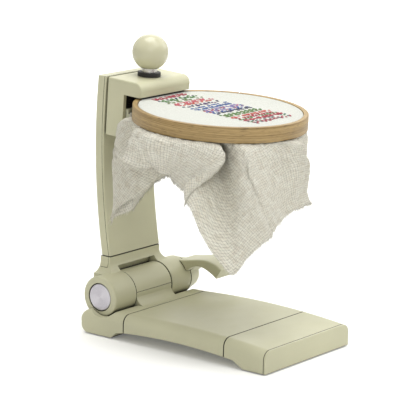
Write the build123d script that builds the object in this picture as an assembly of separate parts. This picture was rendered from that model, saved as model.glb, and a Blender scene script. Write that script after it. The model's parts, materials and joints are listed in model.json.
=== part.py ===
from build123d import *
from math import atan2, cos, hypot, sin
import os

# Embroidery hoop on a folding stand. All sizes are in millimetres.
# Origin: on the table, straight under the middle of the hinge axis.
# +X runs along the hinge axis to the lock lever, -Y to the nose of the base, +Z up.

# ---------------------------------------------------------------- driving dimensions
SEAM = 0.9              # shadow gap between neighbouring mouldings
SKIN = 3.0              # wall of the hollow mouldings
SLIP = 0.25             # clearance round a fixed insert
RUN = 0.05              # radial clearance of a running fit

BASE_HALF = 76.0        # half the width of the base
NOSE_Y = -235.0         # front face of the end cap
BLOCK_SEAM_Y = -42.0    # seam between hinge block and deck
NOSE_SEAM_Y = -180.0    # seam between deck and nose
CAP_THICK = 2.4
BASE_EDGE_R = 10.0      # rounding along both top edges
PAD_THICK = 1.2         # rubber under the feet
TOP_AT_BLOCK = 29.4
TOP_CREST = (-120.0, 32.0)
TOP_AT_NOSE = 25.4
CAVITY_HALF = 66.0      # half the width inside deck and nose

SPINE_HALF = 24.0       # steel bar through the base
SPINE_Z = (15.4, 20.4)
SPINE_Y = (-226.0, -18.0)
SPINE_SCREW_X = 14.0
SPINE_SCREW_YS = (-31.0, -110.0, -200.0)

HINGE_Z = 41.0          # height of the hinge axis
KNUCKLE_R = 23.5
KNUCKLE_IN = 32.0       # the knuckles run from here ...
KNUCKLE_OUT = 67.0      # ... to here, on both sides
CRADLE_R = 24.6
BARREL_R = 23.0
BARREL_HALF = 30.4
COVER_Z = 43.0          # seam between barrel and barrel cover
CORE_R = 16.5           # steel tube inside the barrel
PIN_R = 6.0
BUSH_R = 9.0
PIN_CAP_R = 15.0
PIN_CAP_X = (-66.6, -63.2)

COLUMN_HALF = 43.0      # half the width of column and clamp head
FORK_TOP = 82.0
FORK_HALF = 54.0        # half the width of the fork, beside the knuckles
COLUMN_TOP = 283.2
PLATE_THICK = 2.7       # column front plate
SEAM_LINE = ((8.2, FORK_TOP), (19.2, 195.0), (15.9, COLUMN_TOP))    # rear shell meets front plate
REAR_LINE = ((19.4, FORK_TOP), (29.9, 195.0), (26.4, COLUMN_TOP))   # back of the column
WINDOW_R = 29.5         # the fork's window clears the barrel by this radius
BACK_WALL_R = 24.4      # inside of the wall behind the barrel

HEAD_TILT = 3.2         # the head leans forward with the top of the column
HEAD_ORIGIN = (0.0, 10.0, 283.0)    # rear top edge of the head
HEAD_DEPTH = 46.0
HEAD_DROP = 64.0
UPPER_JAW = 16.0        # thickness of the overhang, which is the upper jaw
LEG_DEPTH = 22.6
LEG_WALL = 4.7
LEG_BACK = 5.0
SCREW_Y = -21.5         # clamp screw axis
SCREW_R = 4.0
SCREW_BUSH_R = 6.5
KNOB_R = 20.0
KNOB_Z = 26.5
COLLAR_TOP = 9.2
JAW_TOP = -32.2
JAW_BOTTOM = -49.0
JAW_SEAT = -37.2        # the lower jaw's pad lies here

HOOP_R = 95.0
HOOP_H = 17.0
RING_WALL = 5.5
CLOTH = 0.5             # linen
FIT = 0.03              # between cloth and rings
HOOP_Y = -123.0         # hoop centre
HOOP_TOP = -18.1
HOOP_BOTTOM = HOOP_TOP - HOOP_H
INNER_RING_R = HOOP_R - RING_WALL - CLOTH - 2 * FIT
SPLIT_ANGLE = 25.0      # where the outer ring is split, from +X towards +Y
SPLIT_GAP = 1.2
LUG_X = 102.0           # tension screw, from the hoop's centre
CLOTH_EDGES = (163, 152, 192, 118)  # from the middle of the hoop to the linen's back, left, front and right edges
CLOTH_TURN = 83         # direction in which the back edge faces, in degrees

HINGE = Location((0, 0, HINGE_Z))
HEAD = Location(HEAD_ORIGIN, (HEAD_TILT, 0, 0))
CLAMP = HEAD * Location((0, SCREW_Y, 0))
HOOP = HEAD * Location((0, HOOP_Y, 0))
HARDWARE = HOOP * Location((0, 0, HOOP_BOTTOM + HOOP_H / 2), (0, 0, SPLIT_ANGLE))


# ---------------------------------------------------------------- helpers
def side_prism(outline, x_from, x_to):
    """Solid between two X stations, from a closed outline given as (Y, Z)."""
    return extrude(Plane.YZ.offset(x_from) * make_face(outline), x_to - x_from)


def front_prism(outline, y_from, y_to):
    """Solid between two Y stations, from a closed outline given as (X, Z)."""
    return extrude(Plane.XZ.offset(-y_to) * make_face(outline), y_to - y_from)


def span(x, y, z):
    """Box from its (low, high) pair on each axis."""
    size = [high - low for low, high in (x, y, z)]
    middle = [(high + low) / 2 for low, high in (x, y, z)]
    return Pos(*middle) * Box(*size)


def rod_x(radius, x_from, x_to):
    """Round bar on the hinge axis."""
    return HINGE * Pos((x_from + x_to) / 2, 0, 0) * Rot(0, 90, 0) * Cylinder(radius, x_to - x_from)


def rod_z(radius, z_from, z_to):
    return Pos(0, 0, (z_from + z_to) / 2) * Cylinder(radius, z_to - z_from)


def rod_y(radius, y_from, y_to):
    return Pos(0, (y_from + y_to) / 2, 0) * Rot(90, 0, 0) * Cylinder(radius, y_to - y_from)


def tube_x(outer, inner, x_from, x_to):
    return rod_x(outer, x_from, x_to) - rod_x(inner, x_from - 1, x_to + 1)


def tube_z(outer, inner, z_from, z_to):
    return rod_z(outer, z_from, z_to) - rod_z(inner, z_from - 1, z_to + 1)


def mirrored(shape):
    return shape + mirror(shape, Plane.YZ)


def pan_screw(shank_r, head_r, length, head_h):
    """The head sits on z = 0 and the shank points up."""
    body = rod_z(head_r, -head_h, 0)
    return fillet(body.edges().group_by(Axis.Z)[0], head_h * 0.5) + rod_z(shank_r, 0, length)


def shifted(line, dy):
    return [(y + dy, z) for y, z in line]


# ---------------------------------------------------------------- base
def base_bar(y_from, y_to, inset=0.0):
    """Stretch of the crowned deck, arched below and with both top edges rounded."""
    foot = PAD_THICK
    nose = (NOSE_Y, TOP_AT_NOSE - inset)
    rear = (BLOCK_SEAM_Y, TOP_AT_BLOCK - inset)
    crest = (TOP_CREST[0], TOP_CREST[1] - inset)
    outline = ThreePointArc(rear, crest, nose) + Line(nose, (NOSE_Y, foot)) + Line((NOSE_Y, foot), (-206, foot))
    outline += Line((-206, foot), (-192, 8.6))
    outline += ThreePointArc((-192, 8.6), (-118, 12.8), (BLOCK_SEAM_Y, 9.6))
    outline += Line((BLOCK_SEAM_Y, 9.6), rear)
    bar = side_prism(outline, -BASE_HALF, BASE_HALF)
    edges = bar.edges().filter_by(lambda e: abs(abs(e.center().X) - BASE_HALF) < 0.1 and e.center().Z > 25)
    bar = fillet(edges, BASE_EDGE_R)
    return bar & span((-90, 90), (y_from, y_to), (-5, 60))


def screw_seats(ys):
    """Screw bores with a wide counterbore below the spine."""
    cut = None
    for x in (-SPINE_SCREW_X, SPINE_SCREW_X):
        for y in ys:
            bore = Pos(x, y, 0) * (rod_z(5.0, -2, SPINE_Z[0] + 0.1) + rod_z(2.03, 0, SPINE_Z[1] + 4.6))
            cut = bore if cut is None else cut + bore
    return cut


def spine_pocket():
    grow = SLIP
    return span(
        (-SPINE_HALF - grow, SPINE_HALF + grow),
        (SPINE_Y[0] - grow, SPINE_Y[1] + grow),
        (SPINE_Z[0] - 0.05, SPINE_Z[1] + 0.05),
    )


def hinge_block():
    """Rear of the base: feet, cradles for both knuckles, and the lower half of the barrel."""
    foot = PAD_THICK
    front = BLOCK_SEAM_Y + SEAM
    outline = Line((front, TOP_AT_BLOCK), (front, 9.4)) + Line((front, 9.4), (-31, 7.6))
    outline += Line((-31, 7.6), (-24, foot)) + Line((-24, foot), (11, foot))
    outline += ThreePointArc((11, foot), (16.5, 4.6), (18.2, 12))
    outline += ThreePointArc((18.2, 12), (16.2, 22.4), (7, 28))
    outline += Line((7, 28), (-16, 27)) + Line((-16, 27), (-24, 29)) + Line((-24, 29), (front, TOP_AT_BLOCK))
    block = side_prism(outline, -BASE_HALF, BASE_HALF)
    sides = block.edges().filter_by(lambda e: abs(abs(e.center().X) - BASE_HALF) < 0.1 and e.center().Z > 28)
    block = fillet([e for e in sides if e.center().Y < -24], BASE_EDGE_R * 0.98)
    block -= rod_x(CRADLE_R, BARREL_HALF + 0.05, KNUCKLE_OUT + 1.2)
    block -= rod_x(CRADLE_R, -KNUCKLE_OUT - 1.2, -BARREL_HALF - 0.05)
    block -= rod_x(CRADLE_R, KNUCKLE_OUT, BASE_HALF + 5)
    scoop = ThreePointArc((9.5, 29), (-8, 21.4), (-26, 30)) + Line((-26, 30), (9.5, 29))
    block -= side_prism(scoop, -BASE_HALF - 1, BASE_HALF + 1)
    neck = Line((-38, 27), (-38, TOP_AT_BLOCK)) + ThreePointArc((-38, TOP_AT_BLOCK), (-26.5, 32), (-22.4, 39))
    neck += Line((-22.4, 39), (22, 39)) + Line((22, 39), (14, 22)) + Line((14, 22), (-38, 27))
    block += side_prism(neck, -BARREL_HALF, BARREL_HALF)
    block += rod_x(BARREL_R, -BARREL_HALF, BARREL_HALF)
    block -= span((-40, 40), (-40, 40), (COVER_Z, 90))
    block -= rod_x(CORE_R + FIT, -40, 40)
    return block - spine_pocket() - screw_seats(SPINE_SCREW_YS[:1])


def barrel_cover():
    shell = rod_x(BARREL_R, -BARREL_HALF, BARREL_HALF) - rod_x(CORE_R + FIT, -40, 40)
    return shell & span((-40, 40), (-40, 40), (COVER_Z + 0.6, 90))


def barrel_core():
    """Steel tube; two flats on the pin key it to the tube."""
    flats = span((-40, 40), (-PIN_R + 1 - FIT, PIN_R - 1 + FIT), (HINGE_Z - 20, HINGE_Z + 20))
    bore = rod_x(PIN_R + FIT, -40, 40) & flats
    return rod_x(CORE_R, -BARREL_HALF, BARREL_HALF) - bore


def deck_cavity():
    """Space inside the deck, open below for the under cover."""
    ends = (NOSE_SEAM_Y + SEAM / 2 + SKIN, BLOCK_SEAM_Y - SEAM / 2 - SKIN)
    rear, crest, front = (ends[1], TOP_AT_BLOCK - SKIN), (TOP_CREST[0], TOP_CREST[1] - SKIN), (ends[0], 26.4)
    outline = ThreePointArc(rear, crest, front) + Line(front, (ends[0], 2)) + Line((ends[0], 2), (ends[1], 2))
    outline += Line((ends[1], 2), rear)
    return side_prism(outline, -CAVITY_HALF, CAVITY_HALF)


def deck_shell():
    deck = base_bar(NOSE_SEAM_Y + SEAM / 2, BLOCK_SEAM_Y - SEAM / 2 + 0.3) - deck_cavity()
    for x in (-SPINE_SCREW_X, SPINE_SCREW_X):
        deck += Pos(x, SPINE_SCREW_YS[1], 0) * rod_z(6.0, SPINE_Z[1] + 0.05, TOP_CREST[1] - SKIN + 0.5)
    return deck - spine_pocket() - screw_seats(SPINE_SCREW_YS[1:2])


def under_cover():
    ends = (NOSE_SEAM_Y + SEAM / 2 + SKIN + SLIP, BLOCK_SEAM_Y - SEAM / 2 - SKIN - SLIP)
    low = ThreePointArc((ends[0], 9.6), (-111, 12.8), (ends[1], 9.8))
    high = ThreePointArc((ends[0], 11.6), (-111, 14.8), (ends[1], 11.8))
    outline = low + high + Line((ends[0], 9.6), (ends[0], 11.6)) + Line((ends[1], 9.8), (ends[1], 11.8))
    half = CAVITY_HALF - SLIP
    plate = side_prism(outline, -half, half)
    for x in (-SPINE_SCREW_X, SPINE_SCREW_X):
        plate -= Pos(x, SPINE_SCREW_YS[1], 0) * rod_z(5.0, 0, 20)
    return plate


def nose_cavity(grow=0.0, y_to=-208.0):
    """Space behind the end cap, over the front foot."""
    half = CAVITY_HALF - 2 + grow
    return span((-half, half), (NOSE_Y, y_to), (PAD_THICK + SKIN - grow, 22 + grow))


def nose_shell():
    nose = base_bar(NOSE_Y + CAP_THICK + 0.5, NOSE_SEAM_Y - SEAM / 2) - nose_cavity()
    return nose - spine_pocket() - screw_seats(SPINE_SCREW_YS[2:])


def end_cap():
    """Face plate with a plug that sits in the open end of the nose."""
    cap = base_bar(NOSE_Y, NOSE_Y + CAP_THICK)
    rim_end = NOSE_Y + CAP_THICK + 5
    rim = nose_cavity(-SLIP, rim_end) - nose_cavity(-SLIP - 2, rim_end + 1)
    return cap + (rim & span((-90, 90), (NOSE_Y + 1, rim_end), (0, 60)))


def base_spine():
    bar = span((-SPINE_HALF, SPINE_HALF), SPINE_Y, SPINE_Z)
    for x in (-SPINE_SCREW_X, SPINE_SCREW_X):
        for y in SPINE_SCREW_YS:
            bar -= Pos(x, y, 0) * rod_z(2.2, 0, 40)
    return bar


def spine_screws():
    places = [(x, y) for x in (-SPINE_SCREW_X, SPINE_SCREW_X) for y in SPINE_SCREW_YS]
    return Compound([Pos(x, y, SPINE_Z[0] - 0.02) * pan_screw(2.0, 4.0, 9.0, 2.6) for x, y in places])


def foot_pad(y_from, y_to):
    pad = span((-64, 64), (y_from, y_to), (0, PAD_THICK))
    return fillet(pad.edges().filter_by(Axis.Z), 5)


# ---------------------------------------------------------------- hinge
def hinge_pin():
    """Flatted through the barrel, round in the knuckles and the lever."""
    pin = rod_x(PIN_R, PIN_CAP_X[1] - 2.4, 88)
    for side in (-1, 1):
        y = sorted((side * (PIN_R - 1), side * (PIN_R + 1)))
        pin -= span((-BARREL_HALF, BARREL_HALF), y, (HINGE_Z - 8, HINGE_Z + 8))
    return pin


def pin_cap():
    disc = rod_x(PIN_CAP_R, *PIN_CAP_X)
    disc = fillet(disc.edges().group_by(Axis.X)[0], 0.8)
    return disc - rod_x(PIN_R + FIT, PIN_CAP_X[1] - 2.5, PIN_CAP_X[1] + 1)


def friction_washers():
    right = tube_x(20.0, PIN_R + RUN, BARREL_HALF + 0.1, KNUCKLE_IN - 0.1)
    return Compound([right, mirror(right, Plane.YZ)])


def knuckle_bushes():
    left = tube_x(BUSH_R, PIN_R + RUN, PIN_CAP_X[1] + 0.6, -KNUCKLE_IN)
    right = tube_x(BUSH_R, PIN_R + RUN, KNUCKLE_IN, KNUCKLE_OUT)
    return Compound([left, right])


def thrust_washer():
    return tube_x(14.0, PIN_R + RUN, KNUCKLE_OUT + 0.1, KNUCKLE_OUT + 1.5)


LEVER_X = (58.0, 93.0)
HUB_X = (KNUCKLE_OUT + 1.7, 91.0)


def lock_lever():
    """Tapered hub with a swept handle that reaches back over the knuckle."""
    top = Spline((-10, 62.5), (-28, 65.2), (-45, 67.8), (-72, 60.2))
    tip = Line((-72, 60.2), (-64.5, 48.9))
    under = Spline((-64.5, 48.9), (-50, 56.8), (-39, 58.9), (-28, 55.6), (-20, 49))
    root = Line((-20, 49), (-10, 62.5))
    handle = side_prism(top + tip + under + root, *LEVER_X)
    long_edges = [e for e in handle.edges() if abs(e.center().X - 75.5) > 17 and e.length > 20]
    handle = fillet(long_edges, 2.0)
    hub = HINGE * Pos((HUB_X[0] + HUB_X[1]) / 2, 0, 0) * Rot(0, 90, 0) * Cone(22.0, 16.0, HUB_X[1] - HUB_X[0])
    hub = fillet(hub.edges().group_by(Axis.X)[-1], 3.0)
    web = Line((-8, 56), (-20, 62)) + Line((-20, 62), (-28, 56)) + Line((-28, 56), (-14, 44)) + Line((-14, 44), (-8, 56))
    lever = handle + hub + side_prism(web, HUB_X[0], HUB_X[1] - 3)
    lever -= rod_x(KNUCKLE_R + 0.8, LEVER_X[0] - 5, HUB_X[0])
    return lever - rod_x(BUSH_R, HUB_X[0] - 1, 89) - rod_x(7.0, 88, 95)


def lever_insert():
    return tube_x(BUSH_R, PIN_R + RUN, HUB_X[0], 88.8)


def lever_plug():
    """Press-in button that closes the hub."""
    return rod_x(7.0, 89.2, HUB_X[1] + 0.5)


# ---------------------------------------------------------------- arm
def fork_body():
    """Everything below the column: two knuckles, the flared foot and the wall behind the barrel."""
    top = FORK_TOP - SEAM
    half = COLUMN_HALF
    right = Line((0, top), (half, top)) + Line((half, top), (half, 75))
    right += ThreePointArc((half, 75), (46.2, 67.2), (FORK_HALF, 63.5)) + Line((FORK_HALF, 63.5), (FORK_HALF, HINGE_Z))
    right += Line((FORK_HALF, HINGE_Z), (0, HINGE_Z)) + Line((0, HINGE_Z), (0, top))
    side = Line((5.4, top), (19.4, top)) + Line((19.4, top), (20.3, 52.5)) + Line((20.3, 52.5), (0, HINGE_Z))
    side += Line((0, HINGE_Z), (-6, 62.5)) + ThreePointArc((-6, 62.5), (1.2, 66.6), (5.4, top))
    body = mirrored(front_prism(right, -30, 40)) & side_prism(side, -60, 60)
    knuckle = rod_x(KNUCKLE_R, KNUCKLE_IN, KNUCKLE_OUT)
    knuckle = fillet(knuckle.edges().group_by(Axis.X)[-1], 2.5)
    body += mirrored(knuckle)
    body -= rod_x(WINDOW_R, -KNUCKLE_IN, KNUCKLE_IN)
    reach = KNUCKLE_IN + 2
    body += tube_x(BACK_WALL_R + SKIN, BACK_WALL_R, -reach, reach) & span((-60, 60), (12, 40), (48, 75))
    body += tube_x(WINDOW_R + 1, BACK_WALL_R, -reach, reach) & span((-60, 60), (12, 19.4), (50, 75))
    body -= rod_x(BUSH_R + FIT, -80, 80)
    body -= rod_x(PIN_CAP_R + 1.0, -80, PIN_CAP_X[1] + 0.5)
    return body - span((-20.4, 20.4), (7.7, 13.9), (73, 90)) - fork_screw_bores()


def rear_zone(gap=0.0):
    """Space behind the seam that runs down both sides of the fork."""
    return span((-70, 70), (8.2 + gap, 50), (68.9 + gap, 90))


def fork():
    return fork_body() - rear_zone()


def fork_rear_cover():
    """Upper back of the fork, screwed on over the foot of the column spine."""
    return fork_body() & rear_zone(0.5)


def fork_screw_bores():
    cut = None
    for x in (-10, 10):
        bore = Pos(x, 0, 77.5) * (rod_y(1.83, 6, 16.9) + rod_y(3.4, 13.9, 25))
        cut = bore if cut is None else cut + bore
    return cut


def fork_screws():
    return Compound([Pos(x, 14.0, 77.5) * Rot(90, 0, 0) * pan_screw(1.8, 3.2, 7.6, 2.0) for x in (-10, 10)])


def column_rear_shell():
    """Back of the column, hollow towards the front plate."""
    low_front, high_front = SEAM_LINE[0], SEAM_LINE[2]
    low_rear, high_rear = REAR_LINE[0], REAR_LINE[2]
    outline = ThreePointArc(*SEAM_LINE) + Line(high_front, high_rear)
    outline += ThreePointArc(*REAR_LINE) + Line(low_rear, low_front)
    shell = side_prism(outline, -COLUMN_HALF, COLUMN_HALF)
    back = [e for e in shell.edges() if e.center().Y > 24 and e.length > 120]
    shell = fillet(back, 3.5)
    depth = ThreePointArc(*shifted(SEAM_LINE, 7.6))
    front = ThreePointArc(*shifted(SEAM_LINE, -2))
    ends = Line(depth @ 0, front @ 0) + Line(depth @ 1, front @ 1)
    half = COLUMN_HALF - SKIN
    hollow = side_prism(depth + front + ends, -half, half)
    shell -= hollow & span((-50, 50), (0, 40), (FORK_TOP - 2, COLUMN_TOP - SKIN))
    return shell


def column_front_plate():
    front = ThreePointArc(*shifted(SEAM_LINE, -PLATE_THICK))
    back = ThreePointArc(*shifted(SEAM_LINE, -0.6))
    ends = Line(front @ 0, back @ 0) + Line(front @ 1, back @ 1)
    plate = side_prism(front + back + ends, -COLUMN_HALF, COLUMN_HALF)
    long_edges = [e for e in plate.edges() if e.length > 120 and abs(e.center().X) > 1]
    rim = sorted(long_edges, key=lambda e: e.center().Y)[:2]
    return chamfer(rim, 0.8) - head_screw_bores()


def column_spine():
    """Steel strip that carries the head: runs from the fork to the top of the column."""
    front = ThreePointArc(*shifted(SEAM_LINE, 0.1))
    back = ThreePointArc(*shifted(SEAM_LINE, 5.1))
    ends = Line(front @ 0, back @ 0) + Line(front @ 1, back @ 1)
    strip = side_prism(front + back + ends, -20, 20) & span((-50, 50), (0, 40), (FORK_TOP, 278))
    tongue = span((-20, 20), (8.3, 13.3), (73.4, FORK_TOP + 2))
    return strip + tongue - head_screw_bores() - fork_screw_bores()


HEAD_SCREWS = [(x, z) for x in (-14, 14) for z in (-8.5, -57)]


def head_screw_bores(radius=2.03):
    cut = None
    for x, z in HEAD_SCREWS:
        bore = HEAD * Pos(x, 0, z) * rod_y(radius, -6, 12)
        cut = bore if cut is None else cut + bore
    return cut


def head_screws():
    """From behind the column spine, through plate and spacer, into the head."""
    return Compound([HEAD * Pos(x, 11.65, z) * Rot(90, 0, 0) * pan_screw(2.0, 3.8, 15.1, 1.5) for x, z in HEAD_SCREWS])


def head_spacer():
    """Plate between column and head; it leaves a shadow gap all round."""
    block = HEAD * span((-34, 34), (0.05, 8), (-60, -5))
    front = ThreePointArc(*shifted(SEAM_LINE, -PLATE_THICK - 0.05))
    keep = front + Line(front @ 0, (-10, FORK_TOP)) + Line((-10, FORK_TOP), (-10, COLUMN_TOP))
    keep += Line((-10, COLUMN_TOP), front @ 1)
    return (block & side_prism(keep, -50, 50)) - head_screw_bores()


# ---------------------------------------------------------------- clamp head
def clamp_head():
    """C-shaped housing: overhang, hollow leg and a floor under the lower jaw."""
    d, low = HEAD_DEPTH, -HEAD_DROP
    nose_r = 9.0
    outline = Line((0, 0), (-d + nose_r, 0))
    outline += ThreePointArc((-d + nose_r, 0), (-d + nose_r * 0.293, -nose_r * 0.293), (-d, -nose_r))
    outline += Line((-d, -nose_r), (-d + 0.6, -UPPER_JAW)) + Line((-d + 0.6, -UPPER_JAW), (-LEG_DEPTH, -UPPER_JAW))
    outline += Line((-LEG_DEPTH, -UPPER_JAW), (-LEG_DEPTH, -44)) + Line((-LEG_DEPTH, -44), (-16.4, low))
    outline += Line((-16.4, low), (0, low)) + Line((0, low), (0, 0))
    body = side_prism(outline, -COLUMN_HALF, COLUMN_HALF)
    rim = [e for e in body.edges() if abs(abs(e.center().X) - COLUMN_HALF) < 0.1]
    rim = [e for e in rim if e.center().Z > -UPPER_JAW and e.center().Y < -20]
    body = fillet(rim, 1.6)
    inner = COLUMN_HALF - LEG_WALL
    body -= span((-inner, inner), (-60, -LEG_BACK), (-61, -UPPER_JAW))
    body -= Pos(0, SCREW_Y, 0) * rod_z(SCREW_BUSH_R, -30, 5)
    return HEAD * body - head_screw_bores()


def upper_pad():
    pad = span((-36, 36), (-44, -29), (-UPPER_JAW - 1.95, -UPPER_JAW - 0.02))
    return HEAD * fillet(pad.edges().filter_by(Axis.Z), 2)


def throat_liner():
    """Black ribbed lining between the leg's side walls, open for the screw."""
    half = COLUMN_HALF - LEG_WALL - 0.2
    liner = span((-half, half), (-22.0, -18.6), (JAW_TOP + 0.4, -UPPER_JAW - 0.2))
    for rib in range(7):
        z = -18.2 - rib * 2.1
        liner -= span((-50, 50), (-23, -21.0), (z - 0.55, z + 0.55))
    return HEAD * (liner - span((-8, 8), (-30, -10), (-50, 0)))


def screw_bush():
    return CLAMP * tube_z(SCREW_BUSH_R, SCREW_R + RUN, -UPPER_JAW, 0)


def clamp_screw():
    return CLAMP * (rod_z(SCREW_R, -60.4, 20) - tube_z(SCREW_R + 1, SCREW_R - 0.6, -18, -16.2))


def retaining_ring():
    return CLAMP * tube_z(6.8, SCREW_R - 0.6 + FIT, -17.8, -16.3)


def knob_washer():
    washer = tube_z(12.8, SCREW_R + RUN, 0.1, 4.5)
    return CLAMP * fillet(washer.edges().group_by(Axis.Z)[-1], 0.5)


def knob_collar():
    collar = tube_z(8.8, SCREW_R + RUN, 4.55, COLLAR_TOP)
    return CLAMP * collar


def knob_insert():
    return CLAMP * tube_z(6.0, SCREW_R + FIT, COLLAR_TOP + 0.05, 20)


def ball_knob():
    ball = Pos(0, 0, KNOB_Z) * Sphere(KNOB_R)
    ball -= rod_z(30, -10, COLLAR_TOP + 0.05)
    return CLAMP * (ball - rod_z(6.0 + FIT, 0, 20.5))


def lower_jaw():
    """Carriage inside the leg with a shelf that reaches under the hoop."""
    half = COLUMN_HALF - LEG_WALL - 0.1
    outline = Line((-6, JAW_TOP), (-26.4, JAW_TOP)) + Line((-26.4, JAW_TOP), (-26.4, JAW_SEAT))
    outline += Line((-26.4, JAW_SEAT), (-44, JAW_SEAT)) + Line((-44, JAW_SEAT), (-44, -41))
    outline += Line((-44, -41), (-27, JAW_BOTTOM)) + Line((-27, JAW_BOTTOM), (-6, JAW_BOTTOM))
    outline += Line((-6, JAW_BOTTOM), (-6, JAW_TOP))
    jaw = side_prism(outline, -half, half)
    front = [e for e in jaw.edges().filter_by(Axis.Z) if e.center().Y < -40]
    jaw = fillet(front, 2.5)
    bore = Pos(0, SCREW_Y, 0) * (rod_z(SCREW_R + 0.4, -60, -20) + rod_z(7.0 + FIT, -60, -39))
    return HEAD * (jaw - bore)


def jaw_nut():
    return CLAMP * tube_z(7.0, SCREW_R + RUN, JAW_BOTTOM + 0.5, -39.1)


def lower_pad():
    pad = span((-36, 36), (-43, -28), (JAW_SEAT + 0.02, HOOP_BOTTOM - 0.05))
    return HEAD * fillet(pad.edges().filter_by(Axis.Z), 2)


# ---------------------------------------------------------------- hoop
def outer_ring():
    ring = tube_z(HOOP_R, HOOP_R - RING_WALL, HOOP_BOTTOM, HOOP_TOP)
    ring = fillet(ring.edges().filter_by(GeomType.CIRCLE), 0.8)
    gap = Rot(0, 0, SPLIT_ANGLE) * span((50, 120), (-SPLIT_GAP / 2, SPLIT_GAP / 2), (-60, 0))
    ring = HOOP * (ring - gap)
    for hole in rivet_places():
        ring -= HARDWARE * hole * Rot(0, 90, 0) * Cylinder(1.03, 8)
    return ring


def inner_ring():
    top = HOOP_TOP - CLOTH - FIT - 0.4
    ring = tube_z(INNER_RING_R, INNER_RING_R - RING_WALL, HOOP_BOTTOM, top)
    return HOOP * fillet(ring.edges().filter_by(GeomType.CIRCLE), 0.8)


def cloth_drum():
    """Linen stretched over the inner ring and down between both rings."""
    top = HOOP_TOP - 0.4
    drum = rod_z(INNER_RING_R + FIT + CLOTH, HOOP_BOTTOM, top)
    drum -= rod_z(INNER_RING_R + FIT, HOOP_BOTTOM - 1, top - CLOTH)
    return HOOP * drum


def cloth_drape():
    """Free part of the linen, hanging below the rings and folded clear of the clamp."""
    outer = INNER_RING_R + FIT + CLOTH
    start = HOOP_BOTTOM - 0.2
    used = outer + HOOP_H
    longest = hypot(CLOTH_EDGES[1], CLOTH_EDGES[2]) - used
    skirt = tube_z(outer, outer - 0.8, start - longest, start)
    for i, edge in enumerate(CLOTH_EDGES):
        low = -atan2(CLOTH_EDGES[i - 1], edge)
        high = atan2(CLOTH_EDGES[(i + 1) % 4], edge)
        turns = [low + (high - low) * k / 8 for k in range(9)]
        hem = [(outer * sin(t), start - (edge / cos(t) - used)) for t in turns]
        wide, floor = outer * 0.97, start - longest - 5
        below = Polyline(hem[-1], (wide, hem[-1][1]), (wide, floor), (-wide, floor), (-wide, hem[0][1]), hem[0])
        scoop = side_prism(Spline(*hem) + below, outer * 0.25, outer + 10)
        skirt -= Rot(0, 0, CLOTH_TURN + 90 * i) * scoop
    clamp_space = span((-47, 47), (60, 100), (-200, 0))
    return HOOP * (skirt - clamp_space)


def rivet_places():
    return [Pos(95, side * 14, z) * Rot(0, 0, side * 8.4) for side in (-1, 1) for z in (-3.5, 3.5)]


def hoop_bracket(side):
    """Brass strap along the ring with a lug turned outwards for the screw."""
    strap = tube_z(HOOP_R + 1.1, HOOP_R + 0.05, -5.5, 5.5)
    y = sorted((side * 5, side * 19))
    strap &= span((80, 120), y, (-10, 10))
    lug_y = sorted((side * 5, side * 6.6))
    lug = span((94.9, LUG_X + 5.5), lug_y, (-5.5, 5.5))
    lug = fillet([e for e in lug.edges().filter_by(Axis.Y) if e.center().X > 100], 4)
    bracket = strap + (lug - rod_z(HOOP_R + 0.05, -10, 10))
    bracket -= Pos(LUG_X, 0, 0) * rod_y(2.05, -30, 30)
    for hole in rivet_places():
        bracket -= hole * Rot(0, 90, 0) * Cylinder(1.03, 8)
    return HARDWARE * bracket


def hoop_rivets():
    dome = fillet(rod_z(1.9, 1.15, 2.0).edges().group_by(Axis.Z)[-1], 0.5)
    rivet = rod_z(1.0, -3, 1.5) + dome
    return Compound([HARDWARE * place * Rot(0, 90, 0) * rivet for place in rivet_places()])


def tension_screw():
    """Knurled thumb screw through both lugs."""
    head = Pos(0, -11.5, 0) * rod_y(5.0, -4.5, 4.5)
    for turn in range(16):
        head -= Rot(0, turn * 22.5, 0) * Pos(5.3, -11.5, 0) * Rot(90, 0, 0) * Cylinder(0.7, 12)
    shank = rod_y(2.0, -8, 14)
    return HARDWARE * Pos(LUG_X, 0, 0) * (head + shank)


def barrel_nut():
    nut = rod_y(4.2, 6.7, 12.5) - rod_y(2.05, 0, 20)
    return HARDWARE * Pos(LUG_X, 0, 0) * nut


NODES = {
    "hinge_block": hinge_block,
    "barrel_cover": barrel_cover,
    "barrel_core": barrel_core,
    "deck_shell": deck_shell,
    "under_cover": under_cover,
    "nose_shell": nose_shell,
    "end_cap": end_cap,
    "base_spine": base_spine,
    "spine_screws": spine_screws,
    "rear_pad": lambda: foot_pad(-21, 9),
    "front_pad": lambda: foot_pad(-230, -209),
    "hinge_pin": hinge_pin,
    "pin_cap": pin_cap,
    "friction_washers": friction_washers,
    "knuckle_bushes": knuckle_bushes,
    "thrust_washer": thrust_washer,
    "lock_lever": lock_lever,
    "lever_insert": lever_insert,
    "lever_plug": lever_plug,
    "fork": fork,
    "fork_screws": fork_screws,
    "fork_rear_cover": fork_rear_cover,
    "column_rear_shell": column_rear_shell,
    "column_front_plate": column_front_plate,
    "column_spine": column_spine,
    "head_screws": head_screws,
    "head_spacer": head_spacer,
    "clamp_head": clamp_head,
    "upper_pad": upper_pad,
    "throat_liner": throat_liner,
    "screw_bush": screw_bush,
    "clamp_screw": clamp_screw,
    "retaining_ring": retaining_ring,
    "knob_washer": knob_washer,
    "knob_collar": knob_collar,
    "knob_insert": knob_insert,
    "ball_knob": ball_knob,
    "lower_jaw": lower_jaw,
    "jaw_nut": jaw_nut,
    "lower_pad": lower_pad,
    "outer_ring": outer_ring,
    "inner_ring": inner_ring,
    "cloth_drum": cloth_drum,
    "cloth_drape": cloth_drape,
    "bracket_a": lambda: hoop_bracket(1),
    "bracket_b": lambda: hoop_bracket(-1),
    "hoop_rivets": hoop_rivets,
    "tension_screw": tension_screw,
    "barrel_nut": barrel_nut,
}


def main():
    os.makedirs("parts", exist_ok=True)
    for name, build in NODES.items():
        export_step(build(), f"parts/{name}.step")


main()
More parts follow.
